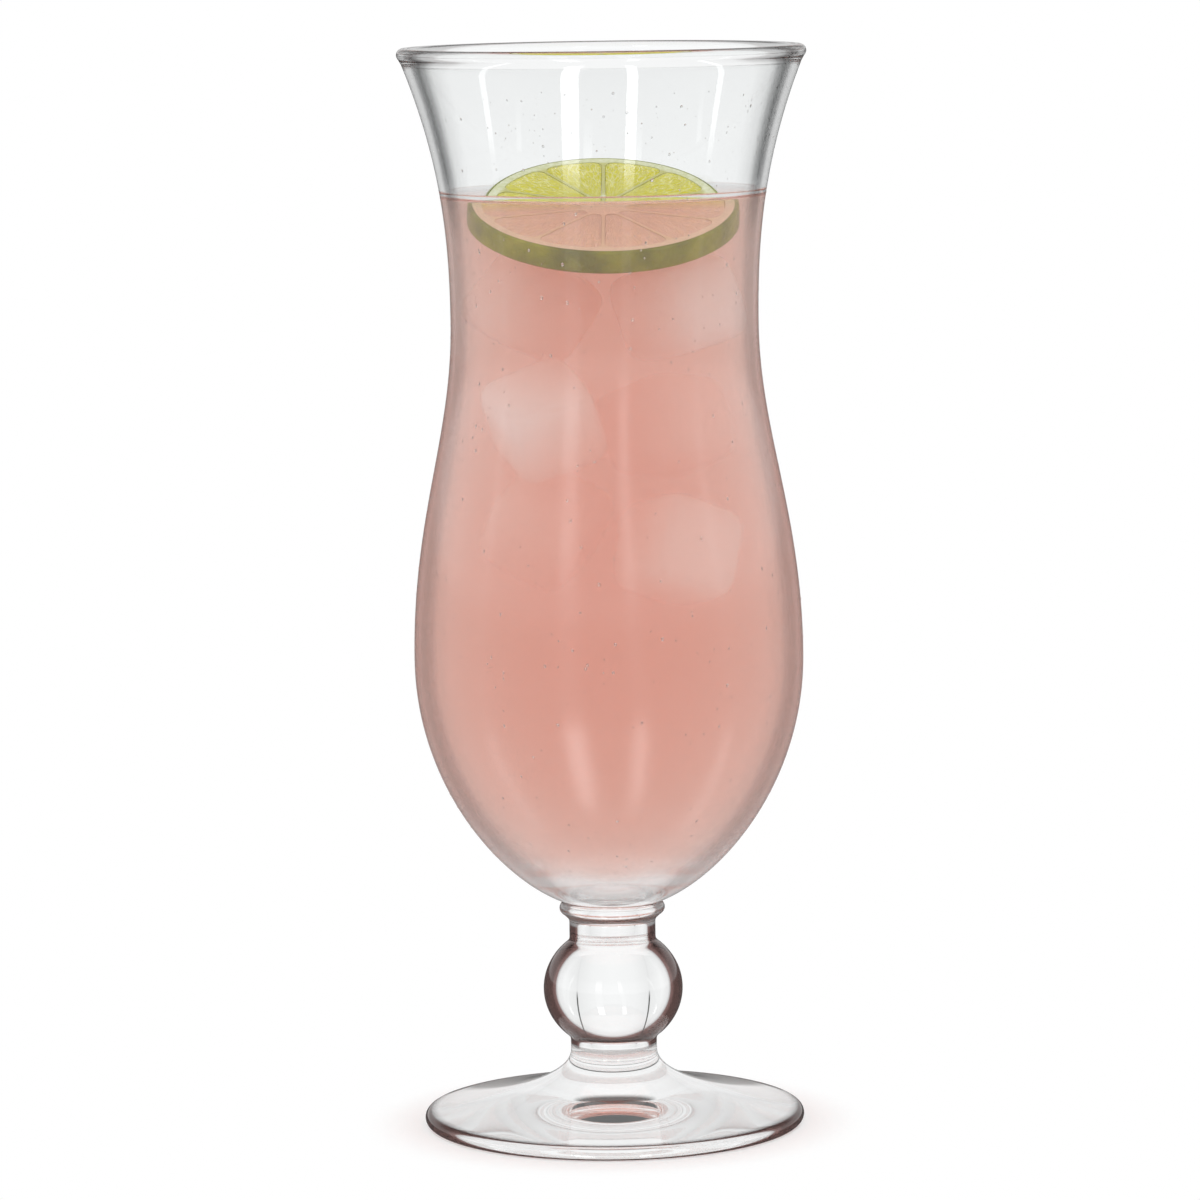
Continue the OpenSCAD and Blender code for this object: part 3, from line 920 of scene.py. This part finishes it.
# %% The tent
half_panel = 22.5
panel = [(0, 1.0), (12, 0.97), (21.9, 0.88), (22.1, 0.06), (half_panel, 0.06)]
storey = [(0.0, 0.75), (0.1, 0.9), (0.2, 1.0), (0.74, 1.0), (0.82, 0.12), (1.0, 0.12)]
surround = bpy.data.node_groups.new("light_tent", "ShaderNodeTree")
surround.interface.new_socket("Direction", in_out="INPUT", socket_type="NodeSocketVector")
surround.interface.new_socket("Seams", in_out="INPUT", socket_type="NodeSocketFloat")
surround.interface.new_socket("Brightness", in_out="OUTPUT", socket_type="NodeSocketFloat")


def greys(places, span):
    """Ramp stops in grey, from (place, brightness), with the places as shares of a span."""
    return [(place / span, (level, level, level, 1.0)) for place, level in places]


given = add(surround, "NodeGroupInput")
split = add(surround, "ShaderNodeSeparateXYZ", {"Vector": given.outputs["Direction"]})
bearing = add(
    surround, "ShaderNodeMath", {0: split.outputs["X"], 1: split.outputs["Y"]}, operation="ARCTAN2",
)
half_turn = math.radians(half_panel)
off_panel = add(surround, "ShaderNodeMath", {0: bearing.outputs[0], 1: half_turn}, operation="PINGPONG")
share = add(surround, "ShaderNodeMath", {0: off_panel.outputs[0], 1: half_turn}, operation="DIVIDE")
panels = add(surround, "ShaderNodeValToRGB", {"Fac": share.outputs[0]}, stops=greys(panel, half_panel))
height = add(
    surround, "ShaderNodeMapRange", {"Value": split.outputs["Z"], "From Min": -1.0, "From Max": 1.0},
)
storeys = add(surround, "ShaderNodeValToRGB", {"Fac": height.outputs[0]}, stops=greys(storey, 1))
upward = add(
    surround, "ShaderNodeMapRange",
    {"Value": split.outputs["Z"], "From Min": -0.12, "From Max": -0.02, "To Min": 0.15, "To Max": 1.0},
)
shown = add(
    surround, "ShaderNodeMath", {0: given.outputs["Seams"], 1: upward.outputs[0]}, operation="MULTIPLY",
)
seamless = add(surround, "ShaderNodeMath", {0: 1.0, 1: shown.outputs[0]}, operation="SUBTRACT")
walls = add(surround, "ShaderNodeMath", {0: panels.outputs[0], 1: seamless.outputs[0]}, operation="MAXIMUM")
behind = add(surround, "ShaderNodeMath", {0: walls.outputs[0], 1: storeys.outputs[0]}, operation="MULTIPLY")
add(surround, "NodeGroupOutput", {"Brightness": behind.outputs[0]})
print("a tent of white panels, with a seam every", 2 * half_panel, "degrees")

# %% [markdown]
# The table is a small round sheet. Its middle is matt, and takes the glass's soft shadow. Towards its rim it
# turns to the same plain white as the background, so that no edge of a table shows. It is hidden from
# mirrored rays, which see the soft boxes' low glow instead.

# %% Table
matt_r, white_r, table_rings = 36 * MM, 50 * MM, [52 * MM, 40 * MM, 20 * MM]
table_material, tree = material("white_table")
place = add(tree, "ShaderNodeTexCoord")
split = add(tree, "ShaderNodeSeparateXYZ", {"Vector": place.outputs["Object"]})
flat = add(tree, "ShaderNodeCombineXYZ", {"X": split.outputs["X"], "Y": split.outputs["Y"]})
away = add(tree, "ShaderNodeVectorMath", {0: flat.outputs[0]}, operation="LENGTH")
blend = add(
    tree, "ShaderNodeMapRange", {"Value": away.outputs["Value"], "From Min": matt_r, "From Max": white_r},
    interpolation_type="SMOOTHERSTEP",
)
matt = add(tree, "ShaderNodeBsdfDiffuse", {"Color": (1.0, 1.0, 1.0, 1.0)})
white = add(tree, "ShaderNodeEmission", {"Color": (1.0, 1.0, 1.0, 1.0), "Strength": 1.0})
mixed = add(tree, "ShaderNodeMixShader", {0: blend.outputs[0], 1: matt.outputs[0], 2: white.outputs[0]})
add(tree, "ShaderNodeOutputMaterial", {"Surface": mixed.outputs[0]})

table_z, table_around = -0.05 * MM, 96
rings = turned(np.array([[ring_r, table_z] for ring_r in table_rings]), table_around)
points = np.vstack([rings.reshape(-1, 3), [0, 0, table_z]])
outer = np.arange(table_around)
beside = np.roll(outer, -1)
inner, beside_inner = outer + table_around, beside + table_around
quads = np.stack([outer, beside, beside_inner, inner], axis=-1)
quads = np.vstack([quads, quads + table_around])
middle = 0 * outer + 3 * table_around
fan = np.stack([inner + table_around, beside_inner + table_around, middle], axis=-1)
table = piece("table", points, quads, fan)
table.data.materials.append(table_material)
table.visible_glossy = False

# %% [markdown]
# Four narrow soft boxes stand round the front: their mirror images are the white strips on the flare. They
# lean a little and spread with height, as the strips in the photograph do. A broad glow just over the
# horizon gives the foot and the ball their sheen.

# %% World: what mirrored rays see
world = bpy.data.worlds.new("studio")
bpy.context.scene.world = world
world.use_nodes = True
tree = world.node_tree
tree.nodes.clear()
way = add(tree, "ShaderNodeTexCoord")
split = add(tree, "ShaderNodeSeparateXYZ", {"Vector": way.outputs["Generated"]})
front = add(tree, "ShaderNodeMath", {0: split.outputs["Y"], 1: -1.0}, operation="MULTIPLY")
turn = add(tree, "ShaderNodeMath", {0: split.outputs["X"], 1: front.outputs[0]}, operation="ARCTAN2")
lean = add(tree, "ShaderNodeMath", {0: split.outputs["Z"], 1: 0.125}, operation="MULTIPLY")
moved = add(tree, "ShaderNodeMath", {0: turn.outputs[0], 1: lean.outputs[0]}, operation="ADD")
spread = add(tree, "ShaderNodeMath", {0: split.outputs["Z"], 1: -0.17, 2: 1.0}, operation="MULTIPLY_ADD")
leant = add(tree, "ShaderNodeMath", {0: moved.outputs[0], 1: spread.outputs[0]}, operation="DIVIDE")
round_share = add(
    tree, "ShaderNodeMapRange", {"Value": leant.outputs[0], "From Min": -math.pi, "From Max": math.pi},
)


def box_stops(boxes, dim):
    """Ramp stops round the horizon: each box, (middle, width, brightness) in degrees, then dim again."""
    stops = [(0.0, (dim, dim, dim, 1.0))]
    for angle, width, level in boxes:
        stops.append(((angle - width / 2 + 180) / 360, (level, level, level, 1.0)))
        stops.append(((angle + width / 2 + 180) / 360, (dim, dim, dim, 1.0)))
    return stops


boxes = [(-80, 5, 3.0), (-24.5, 10.5, 4.5), (14.2, 6.8, 4.5), (72, 5, 3.0)]
soft_boxes = add(
    tree, "ShaderNodeValToRGB", {"Fac": round_share.outputs[0]}, stops=box_stops(boxes, 0.1),
)
soft_boxes.color_ramp.interpolation = "CONSTANT"
height = add(tree, "ShaderNodeMapRange", {"Value": split.outputs["Z"], "From Min": -1.0, "From Max": 1.0})
box_level = [(0.05, 0.0), (0.1, 1.0), (0.27, 1.0), (0.31, 0.12)]
box_level += [(0.52, 0.12), (0.6, 0.4), (0.68, 0.4), (0.75, 0.0)]
strip_level = add(tree, "ShaderNodeValToRGB", {"Fac": height.outputs[0]}, stops=greys(box_level, 1))
glow_level = [(0.0, 0.1), (0.5, 0.1), (0.52, 0.9), (0.65, 0.9), (0.72, 0.1), (1.0, 0.1)]
low_glow = add(tree, "ShaderNodeValToRGB", {"Fac": height.outputs[0]}, stops=greys(glow_level, 1))
mirrored = add(
    tree, "ShaderNodeMix",
    {"Factor": strip_level.outputs[0], "A": low_glow.outputs[0], "B": soft_boxes.outputs[0]},
    data_type="FLOAT",
)
print("soft boxes at", [box[0] for box in boxes], "degrees")

# %% [markdown]
# Light Path tells the rays apart. One that has crossed only a few surfaces is in solid glass and sees the
# tent's seams. One that has crossed many has been through the drink, where everything evens out. One
# that comes from the table or the lime lights a matt surface, and gets even light. The camera itself
# sees plain white.

# %% World: which ray sees what
around_it = add(tree, "ShaderNodeGroup", node_tree=surround)
tree.links.new(way.outputs["Generated"], around_it.inputs["Direction"])
path = add(tree, "ShaderNodeLightPath")
in_solid = add(tree, "ShaderNodeMath", {0: path.outputs["Ray Depth"], 1: 3.5}, operation="LESS_THAN")
tree.links.new(in_solid.outputs[0], around_it.inputs["Seams"])
even = add(
    tree, "ShaderNodeMapRange",
    {"Value": split.outputs["Z"], "From Min": 0.0, "From Max": 1.0, "To Min": 0.8, "To Max": 1.1},
)
scattered = add(
    tree, "ShaderNodeMapRange", {"Value": path.outputs["Ray Depth"], "From Min": 6.0, "From Max": 7.0},
)
seen_through = add(
    tree, "ShaderNodeMix",
    {"Factor": scattered.outputs[0], "A": around_it.outputs[0], "B": even.outputs[0]}, data_type="FLOAT",
)
or_mirrored = add(
    tree, "ShaderNodeMix",
    {"Factor": path.outputs["Is Glossy Ray"], "A": even.outputs[0], "B": mirrored.outputs[0]},
    data_type="FLOAT",
)
or_through = add(
    tree, "ShaderNodeMix",
    {
        "Factor": path.outputs["Is Transmission Ray"],
        "A": or_mirrored.outputs[0],
        "B": seen_through.outputs[0],
    },
    data_type="FLOAT",
)
from_matt = add(tree, "ShaderNodeMath", {0: path.outputs["Diffuse Depth"], 1: 0.5}, operation="GREATER_THAN")
or_even = add(
    tree, "ShaderNodeMix",
    {"Factor": from_matt.outputs[0], "A": or_through.outputs[0], "B": even.outputs[0]}, data_type="FLOAT",
)
or_white = add(
    tree, "ShaderNodeMix", {"Factor": path.outputs["Is Camera Ray"], "A": or_even.outputs[0], "B": 1.0},
    data_type="FLOAT",
)
glow = add(tree, "ShaderNodeBackground", {"Color": (1.0, 1.0, 1.0, 1.0), "Strength": or_white.outputs[0]})
add(tree, "ShaderNodeOutputWorld", {"Surface": glow.outputs[0]})
print("the world has", len(tree.nodes), "nodes")

# %% [markdown]
# A long lens from a metre away keeps the glass slender. The camera looks down about seven degrees, which
# opens the ellipses of the foot, the surface and the lip.

# %% Camera
camera_away, camera_height = 1.073, 0.2344
look_down, roll, look_right = 7.087, 0.75, -0.01
lens = bpy.data.cameras.new("camera")
lens.sensor_width, lens.lens = 36.0, 170.3
camera = bpy.data.objects.new("camera", lens)
bpy.context.scene.collection.objects.link(camera)
camera.location = (0.0, -camera_away, camera_height)
camera.rotation_euler = (math.radians(90 - look_down), math.radians(roll), math.radians(look_right))
bpy.context.scene.camera = camera
print("camera", camera_away, "m away, looking down", look_down, "degrees")

# %% [markdown]
# Light crosses many surfaces here: glass, drink, ice, and out again. The paths are allowed to be long, and
# a highlight behind a rough surface isn't blurred to save noise.

# %% Render paths
scene = bpy.context.scene
scene.view_settings.view_transform = "Standard"
scene.cycles.max_bounces = 96
scene.cycles.transmission_bounces = 48
scene.cycles.volume_bounces = 64
scene.cycles.glossy_bounces = 48
scene.cycles.blur_glossy = 0.0
print("a path may bounce", scene.cycles.max_bounces, "times")
